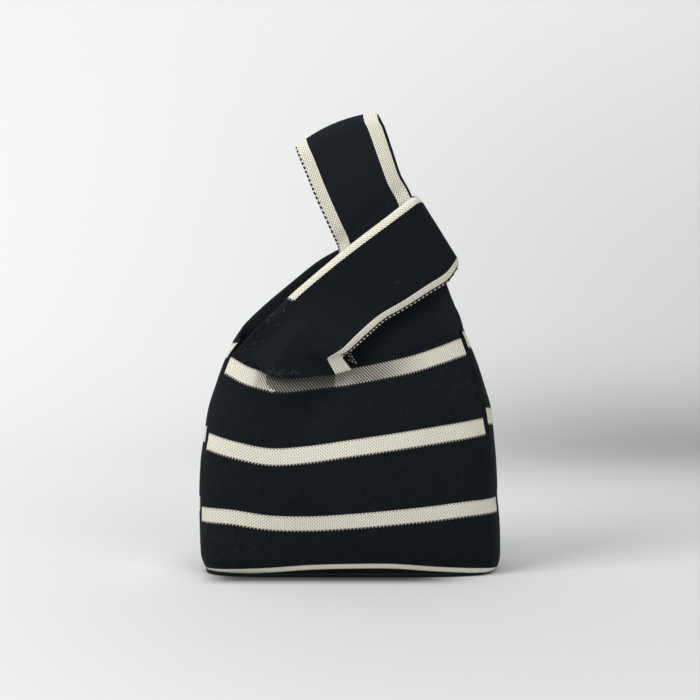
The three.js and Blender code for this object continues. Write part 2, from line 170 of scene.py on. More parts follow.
def spline(points, t):
    """Uniform Catmull-Rom through points (n, k), t from 0 to 1 in any shape."""
    p = np.asarray(points, float)
    n = len(p) - 1
    i = np.clip(np.floor(t * n).astype(int), 0, n - 1)
    f = (t * n - i)[..., None]
    a, b, c, d = p[np.maximum(i - 1, 0)], p[i], p[i + 1], p[np.minimum(i + 2, n)]
    return (((-f + 2) * f - 1) * f / 2) * a + (((3 * f - 5) * f * f + 2) / 2) * b \
        + (((-3 * f + 4) * f + 1) * f / 2) * c + ((f - 1) * f * f / 2) * d


def profile(values, t):
    """Spline through single numbers."""
    return spline(np.array(values, float)[:, None], t)[..., 0]


# Rounds of the body, sampled by height and by share of the way round from the left end
ROUND_STEP = 0.5
ROUND_HEIGHTS = np.arange(0, BODY_TOP + 1, ROUND_STEP)
ROUND_PARTS = 720


def make_rounds():
    left, right, depth, square = (hermite(OUTLINE[:, 0], OUTLINE[:, k], ROUND_HEIGHTS) for k in range(1, 5))
    angle = np.linspace(0, 2 * np.pi, 4 * ROUND_PARTS + 1)
    power = (2 / square)[:, None]
    c = -np.sign(np.cos(angle)) * np.abs(np.cos(angle)) ** power
    s = -np.sign(np.sin(angle)) * np.abs(np.sin(angle)) ** power
    x0, x1 = -left * BODY_WIDTH / 2, right * BODY_WIDTH / 2
    x = ((x0 + x1) / 2)[:, None] + c * ((x1 - x0) / 2)[:, None]
    y = s * (depth * BODY_DEPTH / 2)[:, None]
    steps = np.hypot(np.diff(x), np.diff(y))
    run = np.concatenate([np.zeros((len(x), 1)), np.cumsum(steps, 1)], 1)
    share = np.linspace(0, 1, ROUND_PARTS + 1)
    even_x = np.stack([np.interp(share * r[-1], r, row) for r, row in zip(run, x)])
    even_y = np.stack([np.interp(share * r[-1], r, row) for r, row in zip(run, y)])
    return even_x, even_y, run[:, 2 * ROUND_PARTS], run[:, -1]


ROUND_X, ROUND_Y, HALF, WHOLE = make_rounds()


def half_way(z):
    """Length of the front half of the round at height z."""
    return np.interp(z, ROUND_HEIGHTS, HALF)


def whole_way(z):
    return np.interp(z, ROUND_HEIGHTS, WHOLE)


def ring_point(z, dist):
    """The point at height z, and at a distance round the body from its left end by the front."""
    level = np.clip(z / ROUND_STEP, 0, len(ROUND_HEIGHTS) - 1.001)
    k = np.floor(level).astype(int)
    f = level - k
    q = np.mod(dist / whole_way(z), 1.0) * ROUND_PARTS
    m = np.clip(np.floor(q).astype(int), 0, ROUND_PARTS - 1)
    g = q - m

    def between(table):
        low = table[k, m] * (1 - g) + table[k, m + 1] * g
        high = table[k + 1, m] * (1 - g) + table[k + 1, m + 1] * g
        return low * (1 - f) + high * f

    return np.stack([between(ROUND_X), between(ROUND_Y), z + 0 * q], -1)


# The panels and what lies beside them

def sagged(side, u, v):
    """Where fabric height v lies at place u across a panel: the bands sag, the knit follows."""
    t = np.clip(u if side == "front" else 1 - u, 0, 1)
    xs, ys = [0.0], [np.zeros_like(t)]
    for at, width, heights in BANDS[side]:
        shift = profile(heights, t) - at
        xs += [at - width / 2, at + width / 2]
        ys += [shift, shift]
    xs.append(PANEL_TOP + 1)
    ys.append(ys[-1])
    return np.maximum(v + hermite(xs, ys, v), v * 0.5)


def folds(side, p):
    """Soft hollows and swells of the slack body, as a shift in millimetres."""
    x, z = p[..., 0], p[..., 2]
    out = np.zeros_like(x)
    for amount, at_x, at_z, lean, spread, start, over, ease in CREASES[side]:
        line = bell(x, at_x + lean * (z - at_z), spread)
        out += amount * line * ramp(z, start, over) * (1 - ease * ramp(z, 150, 20))
    for amount, at_x, at_z, lean, spread_x, spread_z in SWELLS[side]:
        out += amount * bell(x, at_x + lean * (z - at_z), spread_x) * bell(z, at_z, spread_z)
    if side == "front":
        pressed = bell(x, -38, 26, power=4) * bell(z, 149, 9)     # behind the short handle's fold
        out -= 4.0 * pressed
    out += 0.5 * np.sin(x / 17 + z / 41) * np.sin(z / 23 - x / 67) * ramp(z, 0, 30)
    shift = np.zeros_like(p)
    away_from_seams = ramp(np.abs(p[..., 1]), 6, 14)
    shift[..., 1] = (-1.0 if side == "front" else 1.0) * out * away_from_seams
    return shift


def panel_face(side, u, v):
    """u, v in any shape: the panel's outer face, in millimetres."""
    z = HEM_LIFT + sagged(side, u, v)
    left, right = np.interp(z, *SEAM_FORWARD["left"]), np.interp(z, *SEAM_FORWARD["right"])
    beside = SEAM_WIDTH / 2
    if side == "front":
        start, end = left + beside, half_way(z) - right - beside
    else:
        start, end = half_way(z) - right + beside, whole_way(z) + left - beside
    p = ring_point(z, start + (end - start) * u)
    return p + folds(side, p)


def seam_face(side, u, v):
    z = HEM_LIFT + v
    forward = np.interp(z, *SEAM_FORWARD[side])
    middle = forward if side == "left" else half_way(z) - forward
    return ring_point(z, middle + (u - 0.5) * SEAM_WIDTH * SEAM_SPREAD)


def base_face(u, v):
    left, right = -BASE_ENDS[0] * BODY_WIDTH / 2, BASE_ENDS[1] * BODY_WIDTH / 2
    a, b = 2 * u - 1, 2 * v - 1
    x = (left + right) / 2 + a * (right - left) / 2
    # The factor just under 1 keeps the ends from closing to a point
    y = b * BASE_DEPTH * BODY_DEPTH / 2 * (1 - 0.999 * np.abs(a) ** BASE_SQUARE) ** (1 / BASE_SQUARE)
    return np.stack([x, -y, BASE_LIFT + 0 * x], -1)


# Straps: pairs of edge points along each loop, from its front root to its back root
SHORT = [([-86.5, -10, 163], [1, -27, 157]), ([-80, -16, 170], [-1, -30.5, 162]),
         ([-63, -21, 188.5], [6.5, -31.5, 171]), ([-44, -21.5, 207], [17.5, -28.5, 180.5]),
         ([-21, -20.5, 226.5], [29, -24, 189.5]), ([2, -19, 245], [45, -19.5, 197.8]),
         ([27, -16.5, 263.8], [61.5, -16.5, 208]), ([46.5, -12, 278.5], [76, -11.5, 216.8]),
         ([51.5, 0, 281], [84.5, 0, 228.5]), ([46.5, 12, 278], [75.5, 11.5, 217]),
         ([27, 16.5, 261.5], [60, 16.5, 207]), ([2, 19, 244.5], [43, 19.5, 200]),
         ([-22, 21, 231], [27, 24, 193]), ([-46, 21, 212], [15, 27.5, 184]),
         ([-66, 19, 195], [3, 28.5, 177]), ([-80.5, 12.5, 180.5], [-1, 27.5, 171]),
         ([-86.5, 4.5, 170.5], [1, 25, 165])]
SHORT_SPANS = len(SHORT) - 1


def on_hinge(along, y, up):
    return list(HINGE + ALONG * along + UP * up + np.array([0, y, 0]))


LONG_FRONT = [([4, -27, 157], [80.5, -10, 178]), ([-4.5, -20.5, 172], [81, -8.8, 191]),
              ([-4, -11.5, 194], [76, -7.4, 207]), ([-4.5, -8, 216], [68, -6.5, 228]),
              ([-7, -6, 234], [55, -6, 257]),
              (on_hinge(-36.4, -3.3, -1), on_hinge(29.4, -3.3, -1)),
              (on_hinge(-33.2, -6.4, 13), on_hinge(31.3, -6.4, 13)),
              ([-25, -8.2, 280], [31.4, -8.2, 311.5]), ([-34, -7.5, 302], [25.1, -7.5, 330]),
              ([-38, -5.5, 311], [22.1, -5.5, 336.5])]
LONG_TOP = ([-40, 0, 316], [21.5, 0, 342])
# How far the loop's back layer shows at the right of its front layer, and how far the middle of
# the loop rises over its edges, and which way
BACK_STEP = [0, 0, 0, 0, 1.0, 2.0, 2.2, 2.4, 2.4, 2.4]
FRONT_RISE = [0, 0, 0, 0, 0, 0, 0, 1, 3.5, 5]
TOP_RISE = 5
RISE_WAY = np.array([-0.39, 0, 0.92])
LONG_BACK = [([a[0], -a[1], a[2]], [b[0] + step, -b[1], b[2]]) for (a, b), step in zip(LONG_FRONT, BACK_STEP)]
LONG = LONG_FRONT + [LONG_TOP] + LONG_BACK[::-1]
LONG_RISE = FRONT_RISE + [TOP_RISE] + FRONT_RISE[::-1]
LONG_SPANS = len(LONG) - 1


def strap_face(stations, t, w, curls=(0.0, 0.0)):
    """A strap between its two edge lines, w from one to the other. curls says how far each edge is
    rolled back, from 0 to 1."""
    edges = [[s[k] for s in stations] for k in (0, 1)]
    low, high = np.clip(t - 1e-3, 0, 1), np.clip(t + 1e-3, 0, 1)
    share = w[..., None]
    start = spline(edges[0], t)
    across = spline(edges[1], t) - start
    run = (spline(edges[0], high) - spline(edges[0], low)) * (1 - share) \
        + (spline(edges[1], high) - spline(edges[1], low)) * share
    out = np.cross(across, run)
    out /= np.linalg.norm(out, axis=-1, keepdims=True) + 1e-12
    width = np.linalg.norm(across, axis=-1)
    turn = [np.maximum(c * ROLL_TURN, 0.02) + 0 * w for c in curls]
    radius = [ROLL_WIDTH / q for q in turn]
    shown = [r * np.sin(np.minimum(q, np.pi / 2)) for r, q in zip(radius, turn)]
    cloth = width + 2 * ROLL_WIDTH - shown[0] - shown[1]
    s = w * cloth
    angle = [np.clip((ROLL_WIDTH - far) / r, 0, None) for far, r in zip((s, cloth - s), radius)]
    x = s - (ROLL_WIDTH - shown[0])
    x = np.where(s < ROLL_WIDTH, shown[0] - radius[0] * np.sin(angle[0]), x)
    x = np.where(cloth - s < ROLL_WIDTH, width - shown[1] + radius[1] * np.sin(angle[1]), x)
    depth = radius[0] * (1 - np.cos(angle[0])) + radius[1] * (1 - np.cos(angle[1]))
    return start + across * (x / width)[..., None] - out * depth[..., None]


def rooted(p, stations, w, front, front_u, back_u, hold):
    """Carries a strap's two ends over to the panels' top edges, which they grow out of."""
    zero = np.zeros_like(w)
    to_front = panel_face("front", front_u, zero + PANEL_TOP) - strap_face(stations, zero, w)
    to_back = panel_face("back", back_u, zero + PANEL_TOP) - strap_face(stations, zero + 1, w)
    return p + np.where(front[..., None], to_front, to_back) * hold[..., None]


# The fold at the short handle's front root, in millimetres
FOLD_OUT = 9.0                   # how far it stands out
FOLD_HANG, FOLD_HANG_EDGE = 8.2, 2.2    # how far it hangs down, and how much less so at its edge
FOLD_RIGHT = 3.0                 # how far its hanging edge is drawn to the right
LIP_LEFT = 4.5                   # how far its lip points to the left
SHORT_HOLD, LONG_HOLD = 1.4, 2.2    # stations over which a root parts from the panel's edge


def short_face(w, t):
    """The short handle's outer face, w from its upper to its lower edge, t from front to back."""
    k = np.minimum(t, 1 - t) * SHORT_SPANS        # stations from the nearer root
    front = t < 0.5
    upper = ramp(k, 1.6, 1.6) * fade(t * SHORT_SPANS, 7.0, 1.8)
    lower = np.where(front, 0.6 * ramp(k, 0.75, 0.5), (0.6 + 0.4 * fade(k, 6.8, 2)) * ramp(k, 0.6, 1.6))
    p = strap_face(SHORT, t, w, (upper, lower))
    back_u = 1 - (ARMHOLE + (NECKLINE - ARMHOLE) * w)
    p = rooted(p, SHORT, w, front, NECKLINE * w, back_u, fade(k, 0, SHORT_HOLD))
    # The front's fold stands out over the top band and hangs below its root
    stand = ramp(k, 0, 1 / 2.4) * fade(k, 0.9, 3) * ramp(w, 0.14, 0.3) * (1 - 0.55 * ramp(w, 0.86, 0.14))
    hang = (bell(k, 0.4, 0.3) - bell(0, 0.4, 0.3) * fade(k, 0, 1.5)) * ramp(w, 0.25, 0.07)
    # Its lip points to the left where its cream edge turns down
    lip = bell(k, 1.05, 0.42) * ramp(w, 0.62, 0.24) * (1 - 0.25 * ramp(w, 0.9, 0.1))
    p[..., 0] += (FOLD_RIGHT * ramp(w, 0.72, 0.15) * hang - LIP_LEFT * lip) * front
    p[..., 1] -= FOLD_OUT * stand * front
    p[..., 2] -= (FOLD_HANG - FOLD_HANG_EDGE * ramp(w, 0.8, 0.2)) * hang * front
    return p


def long_face(w, t):
    """The long handle's outer face, w from its left to its right edge, t from front to back."""
    k = np.minimum(t, 1 - t) * LONG_SPANS
    p = strap_face(LONG, t, w)
    p = p + RISE_WAY * (profile(LONG_RISE, t) * 4 * w * (1 - w))[..., None]
    start = NECKLINE + NECK_GAP
    hold = fade(k, 0, LONG_HOLD)
    return rooted(p, LONG, w, t < 0.5, start + (1 - start) * w, (1 - start) * (1 - w), hold)


def evened(face):
    """The strap by even length along its middle: the face, its length and where each v lies."""
    t = np.linspace(0, 1, 1201)
    p = face(np.full_like(t, 0.5), t)
    run = np.r_[0, np.cumsum(np.linalg.norm(np.diff(p, axis=0), axis=-1))]

    def to_t(v):
        return np.interp(v * run[-1], run, t)

    return (lambda w, v: face(w, to_t(v))), run[-1], to_t


# Knit

def border_distance(base, round_sides, round_ends):
    """How far each point lies from the nearest rounded border of the sheet."""
    wide = np.linalg.norm(np.diff(base, axis=0), axis=-1).cumsum(0)
    wide = np.concatenate([np.zeros((1, base.shape[1])), wide])
    tall = np.linalg.norm(np.diff(base, axis=1), axis=-1).cumsum(1)
    tall = np.concatenate([np.zeros((base.shape[0], 1)), tall], 1)
    rounds = zip(round_sides + round_ends, (wide, wide[-1] - wide, tall, tall[:, -1:] - tall))
    return np.minimum.reduce([np.full(wide.shape, 99.0)] + [far for on, far in rounds if on])


def stitch_points(face, wales, courses, v0, v1, relief, round_sides, round_ends):
    """The outer face with its stitches, the plain face under them, its normals and the pits."""
    nu, nv = wales * ACROSS, courses * TALL
    i, j = np.meshgrid(np.arange(nu + 1), np.arange(nv + 1), indexing="ij")
    column = i % ACROSS
    wale = np.minimum(i // ACROSS, wales - 1)
    inside = (j > 0) & (j < nv)
    from_middle = np.where(i == nu, 0.5, np.array([-0.5, -0.25, 0, 0.25])[column])
    row = j + 0.8 * np.abs(from_middle) * inside
    weave = np.where((column == 0) & (i > 0) & (i < nu) & inside, 0.5 * (-1.0) ** j, 0.0)
    points = face((i + weave) / nu, v0 + (v1 - v0) * row / nv)
    base = face(i / nu + weave / nu, v0 + (v1 - v0) * j / nv)
    normal = np.cross(np.gradient(base, axis=0), np.gradient(base, axis=1))
    normal /= np.linalg.norm(normal, axis=-1, keepdims=True) + 1e-12
    crest = (j + wale) % 2 == 0
    leg, centre, groove = column % 2 == 1, column == 2, column == 0
    height = np.where(leg, LEG, 0.0)
    height = np.where(centre, np.where(crest, CENTRE_CREST, CENTRE_LOW), height)
    height = np.where(groove, np.where(crest, GROOVE_CREST, GROOVE_LOW), height)
    height = height * relief + rng.normal(0, UNEVEN_POINT, height.shape)
    height = height + UNEVEN_WALE * rng.normal(0, 1, (wales + 1, 1))[np.minimum(i // ACROSS, wales), 0 * i]
    beside = ((column == 1) & crest) | ((column == 3) & ~crest)
    pit = np.where(groove & crest, PIT, np.where(beside, PIT_BESIDE, 0.0))
    # The hem's first rows get lighter pits, painted light
    pit = pit * np.where(j < HEM_LIGHT_ROWS, PIT_HEM_LIGHT, 1.0)
    far = border_distance(base, round_sides, round_ends)
    short_of_edge = EDGE_ROUND - np.clip(far, 0, EDGE_ROUND)
    fall = EDGE_ROUND - np.sqrt(np.maximum(EDGE_ROUND ** 2 - short_of_edge ** 2, 0))
    height = height * ramp(far, 0, 0.9) - fall
    points = points + normal * height[..., None]
    points += rng.normal(0, UNEVEN_PLACE, points.shape)
    return points, base, normal, pit


def cells(index):
    """The four corners of every cell in a grid of point numbers."""
    return np.stack([index[:-1, :-1], index[1:, :-1], index[1:, 1:], index[:-1, 1:]], -1).reshape(-1, 4)


def side_walls(outer, inner, ci, cj):
    """Faces from the fine outer border to the coarse inner one, one for each coarse step."""
    walls = []
    for a in range(len(ci) - 1):
        for edge, rev in ((0, False), (-1, True)):
            line = outer[ci[a]: ci[a + 1] + 1, edge].tolist()
            ids = line[::-1] + inner[a: a + 2, edge].tolist()
            walls.append(ids[::-1] if rev else ids)
    for b in range(len(cj) - 1):
        for edge, rev in ((0, True), (-1, False)):
            line = outer[edge, cj[b]: cj[b + 1] + 1].tolist()
            ids = line[::-1] + inner[edge, b: b + 2].tolist()
            walls.append(ids[::-1] if rev else ids)
    return walls


def stitch_colours(colour, wales, courses, v0, v1, dotted, shade, painted_light):
    """How cream each stitch of the outer face is, and its own shade."""
    nu, nv = wales * ACROSS, courses * TALL
    i, j = np.meshgrid(np.arange(nu), np.arange(nv), indexing="ij")
    wale = i // ACROSS
    step = (wale % 2) * (j > LEVEL_ROWS)
    course = (j + step) // TALL

    def stitches(stepped):
        v = v0 + (v1 - v0) * (j + 0.5 + stepped * step) / nv
        c = colour((wale + 0.5) / wales, v, wale, course).astype(float)
        # Stitches that carry painted shade alternate lighter and darker, the dotted look of the knit in the
        # shaded band
        return np.where((c > 0.15) & (c < 1), c + 1.3 * c * (1 - c) * (-1.0) ** (j + wale), c)

    # A band's border steps by half a stitch from wale to wale, and is half cream between the steps
    cream, level = stitches(True), stitches(False)
    both = (abs(cream - 0.5) <= 0.5) & (abs(level - 0.5) <= 0.5)
    cream = np.where(both, (cream + level) / 2, cream)
    cream = np.where(cream == CHAIN, 0.9 * (j % 4 < 2), cream)
    legs = (i % ACROSS == 1) | (i % ACROSS == 2)
    cream = np.where(cream == REVERSE, 0.5 * (((j + wale) % 2 == 0) & legs), cream)
    if dotted:      # the cream beside the first edge is notched, three rows to a notch
        cream = np.where((cream > 0) & (i < 6 - 2 * (j % 3)) & (j % 3 < 2), 0.0, cream)
    own = (shade[0] + (shade[1] - shade[0]) * rng.random((wales, courses + 2)))[wale, course]
    # Painted light and shade, for the pieces that have them
    if painted_light:
        own = own * painted_light((wale + 0.5) / wales, v0 + (v1 - v0) * (j + 0.5) / nv)
    # A speck lets its back yarn show, and so does a stitch whose painted shade came out below black
    own = np.where(cream < 0, PEEPS, own)
    return np.maximum(cream, 0).ravel(), own.ravel()


def bake_layout(nu, nv, ci, cj):
    """A tidy layout for baking: the outer face below, the inner face above it."""
    def spread(a, b, bottom, height):
        across = 0.01 + 0.98 * (a / nu)[:, None]
        return np.stack(np.broadcast_arrays(across, bottom + height * (b / nv)[None]), -1)

    outer = spread(np.arange(nu + 1), np.arange(nv + 1), 0.01, 0.68)
    inner = spread(ci, cj, 0.72, 0.2)
    return np.concatenate([outer.reshape(-1, 2), inner.reshape(-1, 2)])


def wall_layout(bake, walls, fine):
    """The walls' places in that layout: strips along the top."""
    places = []
    for wall in walls:
        for point in wall:
            upper = 0.02 if point >= fine else 0.03 * (bake[point, 1] > 0.3)
            places.append((bake[point, 0], 0.94 + upper))
    return places


def new_mesh(name, verts, loops, sizes):
    """A smooth mesh from points in metres, point numbers face by face, and the faces' sizes."""
    me = bpy.data.meshes.new(name)
    me.vertices.add(len(verts))
    me.vertices.foreach_set("co", verts.ravel())
    me.loops.add(len(loops))
    me.loops.foreach_set("vertex_index", loops.astype(np.int32))
    me.polygons.add(len(sizes))
    me.polygons.foreach_set("loop_start", np.concatenate([[0], np.cumsum(sizes)[:-1]]).astype(np.int32))
    me.update(calc_edges=True)
    me.validate()
    me.polygons.foreach_set("use_smooth", np.ones(len(me.polygons), bool))
    return me


def paint(me, cream, own, pits, on_back):
    """Red is how cream the stitch is, with the top band's painted shade in it, green its own shade, with any
    painted light and shade in it, blue how deep in a pit the corner lies, and alpha is 0 on the inner face,
    which ends at corner on_back."""
    on_face = len(pits)
    corner = np.zeros((len(me.loops), 4), np.float32)
    corner[:on_face, 0] = np.repeat(cream, 4)
    corner[:on_face, 1] = np.repeat(own, 4)
    corner[:on_face, 2] = pits
    corner[on_face:, 1] = 0.5
    corner[:, 3] = 1
    corner[on_face: on_back, 3] = 0
    me.color_attributes.new("knit", "FLOAT_COLOR", "CORNER").data.foreach_set("color", corner.ravel())


def knit(name, face, wales, courses, v0, v1, colour, thick=FABRIC, relief=1.0, dotted=False,
         round_sides=(False, False), round_ends=(True, True), shade=(0.0, 0.34), painted_light=None):
    """One sheet of double knit as an object.

    face(u, v) is its outer face, u across the wales and v along the courses from v0 to v1.
    colour(u, v, wale, course) gives each stitch's yarn: from BLACK to CREAM, or another of the
    named values. The last argument, if any, paints light and shade: a function of u and v that
    multiplies the stitches' own shade, drawn from shade.
    """
    nu, nv = wales * ACROSS, courses * TALL
    points, base, normal, pit = stitch_points(face, wales, courses, v0, v1, relief, round_sides, round_ends)
    ci = np.unique(np.r_[np.arange(0, nu, COARSE), nu])
    cj = np.unique(np.r_[np.arange(0, nv, COARSE), nv])
    back = base[np.ix_(ci, cj)] - normal[np.ix_(ci, cj)] * thick
    fine = (nu + 1) * (nv + 1)
    outer = np.arange(fine).reshape(nu + 1, nv + 1)
    inner = fine + np.arange(len(ci) * len(cj)).reshape(len(ci), len(cj))
    quads, back_quads = cells(outer), cells(inner)[:, [0, 3, 2, 1]]
    walls = side_walls(outer, inner, ci, cj)
    loops = np.concatenate([quads.ravel(), back_quads.ravel(), [point for wall in walls for point in wall]])
    sizes = np.concatenate([np.full(len(quads) + len(back_quads), 4), [len(wall) for wall in walls]])
    verts = np.concatenate([points.reshape(-1, 3), back.reshape(-1, 3)]) * MM
    me = new_mesh(name, verts, loops, sizes)

    on_back = quads.size + back_quads.size
    cream, own = stitch_colours(colour, wales, courses, v0, v1, dotted, shade, painted_light)
    paint(me, cream, own, pit.ravel()[quads.ravel()], on_back)

    # Two maps: one counts stitches, one is for baking
    count = np.stack(np.meshgrid(np.arange(nu + 1) / ACROSS, np.arange(nv + 1) / TALL, indexing="ij"), -1)
    back_count = count[np.ix_(ci, cj)]
    stitch_map = np.concatenate([count.reshape(-1, 2), back_count.reshape(-1, 2)])[loops]
    bake = bake_layout(nu, nv, ci, cj)
    bake_map = bake[loops]
    bake_map[on_back:] = wall_layout(bake, walls, fine)
    me.uv_layers.new(name="Stitches").data.foreach_set("uv", stitch_map.ravel())
    me.uv_layers.new(name="OFBake").data.foreach_set("uv", bake_map.ravel())
    ob = bpy.data.objects.new(name, me)
    bpy.context.collection.objects.link(ob)
    me.materials.append(KNIT)
    return ob


# Knit's material: the colours of its yarns, at the darkest and the lightest stitch where there are two
CREAM_YARN = (0.765, 0.735, 0.615), (0.82, 0.788, 0.668)
CREAM_CLOUD = (0.70, 0.66, 0.55)
# Pits: in the cream they show the black yarn behind; in the black they are painted shade
CREAM_PIT = (0.04, 0.04, 0.038)
BLACK_YARN = (0.0026, 0.0046, 0.0069), (0.0095, 0.0125, 0.0162)
BLACK_PIT = (0.0022, 0.003, 0.004)
BACK_YARN = (0.62, 0.60, 0.50)
INNER_FACE = (0.0088, 0.0112, 0.0135)
CLOUD_SCALE, FIBRE_SCALE = 38, 2600
CLOUD_SHARE, FIBRE_SHARE = 0.18, 0.35
CREAM_PIT_SHARE, BLACK_PIT_SHARE = 0.97, 0.6


def knit_material():
    m = bpy.data.materials.new("double_knit")
    m.use_nodes = True
    nodes, links = m.node_tree.nodes, m.node_tree.links

    def put(value, socket):
        if isinstance(value, (int, float)):
            socket.default_value = value
        elif isinstance(value, tuple):
            socket.default_value = (*value, 1)
        else:
            links.new(value, socket)

    def compute(operation, a, b, clamp=False):
        node = nodes.new("ShaderNodeMath")
        node.operation = operation
        node.use_clamp = clamp
        put(a, node.inputs[0])
        put(b, node.inputs[1])
        return node.outputs[0]

    def mix(factor, a, b, kind="MIX"):
        node = nodes.new("ShaderNodeMix")
        node.data_type = "RGBA"
        node.blend_type = kind
        for socket, value in ((0, factor), (6, a), (7, b)):
            put(value, node.inputs[socket])
        return node.outputs[2]

    def noise(scale, detail):
        node = nodes.new("ShaderNodeTexNoise")
        node.inputs["Scale"].default_value = scale
        node.inputs["Detail"].default_value = detail
        links.new(place.outputs["Object"], node.inputs["Vector"])
        return node.outputs["Fac"]

    stitch = nodes.new("ShaderNodeVertexColor")
    stitch.layer_name = "knit"
    parts = nodes.new("ShaderNodeSeparateColor")
    links.new(stitch.outputs["Color"], parts.inputs["Color"])
    is_cream, own, pit = (parts.outputs[k] for k in ("Red", "Green", "Blue"))
    place = nodes.new("ShaderNodeTexCoord")
    cloud, fibre = noise(CLOUD_SCALE, 3), noise(FIBRE_SCALE, 2)

    # A stitch's own shade, painted light and shade included, sets its yarn between the darkest and the
    # lightest colour
    cream = mix(own, *CREAM_YARN)
    cream = mix(compute("MULTIPLY", cloud, CLOUD_SHARE), cream, CREAM_CLOUD)
    cream = mix(compute("MULTIPLY", pit, CREAM_PIT_SHARE), cream, CREAM_PIT)
    black = mix(own, *BLACK_YARN)
    black = mix(compute("MULTIPLY", pit, BLACK_PIT_SHARE), black, BLACK_PIT)
    deep = compute("MULTIPLY", compute("SUBTRACT", pit, 0.62), 2.4, clamp=True)
    peep = compute("MULTIPLY", compute("GREATER_THAN", own, 1.5), deep)
    black = mix(peep, black, BACK_YARN)
    yarn = mix(stitch.outputs["Alpha"], INNER_FACE, mix(is_cream, black, cream))
    fuzz = mix(fibre, (0.55, 0.55, 0.55), (1.35, 1.35, 1.35))
    bump = nodes.new("ShaderNodeBump")
    bump.inputs["Strength"].default_value = 0.5
    bump.inputs["Distance"].default_value = 0.0003
    links.new(fibre, bump.inputs["Height"])

    surface = nodes["Principled BSDF"].inputs
    links.new(mix(FIBRE_SHARE, yarn, fuzz, "MULTIPLY"), surface["Base Color"])
    links.new(bump.outputs["Normal"], surface["Normal"])
    surface["Roughness"].default_value = 0.92
    surface["Specular IOR Level"].default_value = 0.14
    surface["Sheen Weight"].default_value = 0.05
    surface["Sheen Roughness"].default_value = 0.45
    return m


KNIT = knit_material()


# Yarns: where each sheet is cream

def all_black(u, v, wale, course):
    return BLACK + 0 * u


TUCK = (0.185, 0.457)     # where the top band runs under the hanging fold, as places across
BARE_EDGE = 0.0055        # the bands end this far from the side seams


def fold_shade(u, v, low, high):
    """How light the front's top band is, which runs under and beside the hanging fold. It is painted shadow:
    deep under the fold, a lighter step just left of it, and painted shade that fades out to the right under
    the short handle's lower edge.
    """
    lit_corner = low + 2.8 * np.clip((0.236 - u) / 0.03, 0, 1)
    tucked = (u > TUCK[0] + 0.0016 * (high - v)) & (u < TUCK[1]) & (v > lit_corner)
    right = 1 - (0.66 * fade(u, 0.585, 0.26) - 0.18 * fade(u, 0.49, 0.06)) * (u > TUCK[1])
    left = 1 - 0.33 * ramp(u, TUCK[0] - 0.05, 0.03) * (u < TUCK[0] + 0.03)
    return np.where(tucked, 0.20, right * left)


def band_colour(side):
    def colour(u, v, wale, course):
        cream = np.full(u.shape, BLACK)
        for k, (at, width, _) in enumerate(BANDS[side]):
            low, high = at - width / 2, at + width / 2
            # The front's top band takes the painted shadow of the hanging fold
            light = fold_shade(u, v, low, high) if (side, k) == ("front", TOP_BAND) else CREAM
            cream = np.where((v > low) & (v < high), light, cream)
        return cream * ((u > BARE_EDGE) & (u < 1 - BARE_EDGE))
    return colour


def front_painted_light(u, v):
    """Painted light and shade on the front: it is darker in the shade under the hanging fold, lighter at the
    upper right, where more light falls, and lighter at the lower left.
    """
    dark = bell(u, 0.34, 0.15) * bell(v, 145, 8)
    right = 1.3 * ramp(u, 0.72, 0.2) * ramp(v, 110, 20)
    left = 0.9 * bell(v, 24, 20) * fade(u, 0.12, 0.35)
    return (1 + right + left) * (1 - dark)


# The handles' edges: widths in wales, and where they run, in stations from the front root
SHORT_BAND, RIB, LONG_BAND, REVERSE_EDGE = 7, 3, 8, 3
UPPER_BAND, LOWER_BAND = (2.95, 13.2), (0.22, 14.9)    # the short handle's cream bands
RIB_START, CHAIN_END = 1.25, 8.6
LEFT_START, RIGHT_START = 2.0, 2.7                     # the long handle's, from the nearer root
REVERSE_SPAN = (0.05, 1.9)                             # where its left edge shows the reverse side
LIP_SPECKS, EDGE_SPECKS, OTHER_SPECKS = 0.42, 0.08, 0.0015    # shares of the stitches


def within(x, span):
    return (x > span[0]) & (x < span[1])


def short_colour(u, v, wale, course):
    k = short_t(v) * SHORT_SPANS
    from_edge = SHORT_WALES - wale
    rib = (from_edge <= RIB) & (k > RIB_START)
    upper = (wale < SHORT_BAND) & within(k, UPPER_BAND)
    lower = (from_edge <= SHORT_BAND) & within(k, LOWER_BAND) & ~rib
    stray = STRAY[wale, course]
    near_lip = within(k, (0.4, 0.6)) & within(u, (0.34, 0.6)) & (stray < LIP_SPECKS)
    near_edge = within(k, (0.8, 3.0)) & (u < 0.16) & (stray < EDGE_SPECKS)
    speck = near_lip | near_edge | (stray < OTHER_SPECKS)
    chain = rib & (from_edge == 2) & (k < CHAIN_END)
    return np.select([chain, upper | lower, speck], [CHAIN, CREAM, SPECK], BLACK)


def long_colour(u, v, wale, course):
    k = long_t(v) * LONG_SPANS
    from_root = np.minimum(k, LONG_SPANS - k)
    left = (wale < LONG_BAND) & (from_root > LEFT_START)
    right = (wale >= LONG_WALES - LONG_BAND) & (from_root > RIGHT_START)
    reverse = (wale < REVERSE_EDGE) & within(from_root, REVERSE_SPAN) & (k < LONG_SPANS / 2)
    return np.select([left | right, reverse], [CREAM, REVERSE], BLACK)


def long_painted_shadow(u, v):
    """Painted shadow: the front root is darker close to the short handle that lies over it."""
    return np.where(long_t(v) * LONG_SPANS < 4.5, ramp(u, 0.7, 0.35), 1.0)


# The knitted pieces
STRAY = rng.random((64, 400))     # where single stitches of the short handle may let cream through

for side in ("front", "back"):
    ob = knit(f"{side}_knit", lambda u, v, s=side: panel_face(s, u, v), PANEL_WALES,
              round(PANEL_TOP / COURSE), 0.0, PANEL_TOP, band_colour(side),
              round_ends=(True, False), painted_light=front_painted_light if side == "front" else None)
    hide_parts(f"{side}_panel", *[f"{side}_band_{k}" for k in (1, 2, 3, 4)])
    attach(ob, "bag")

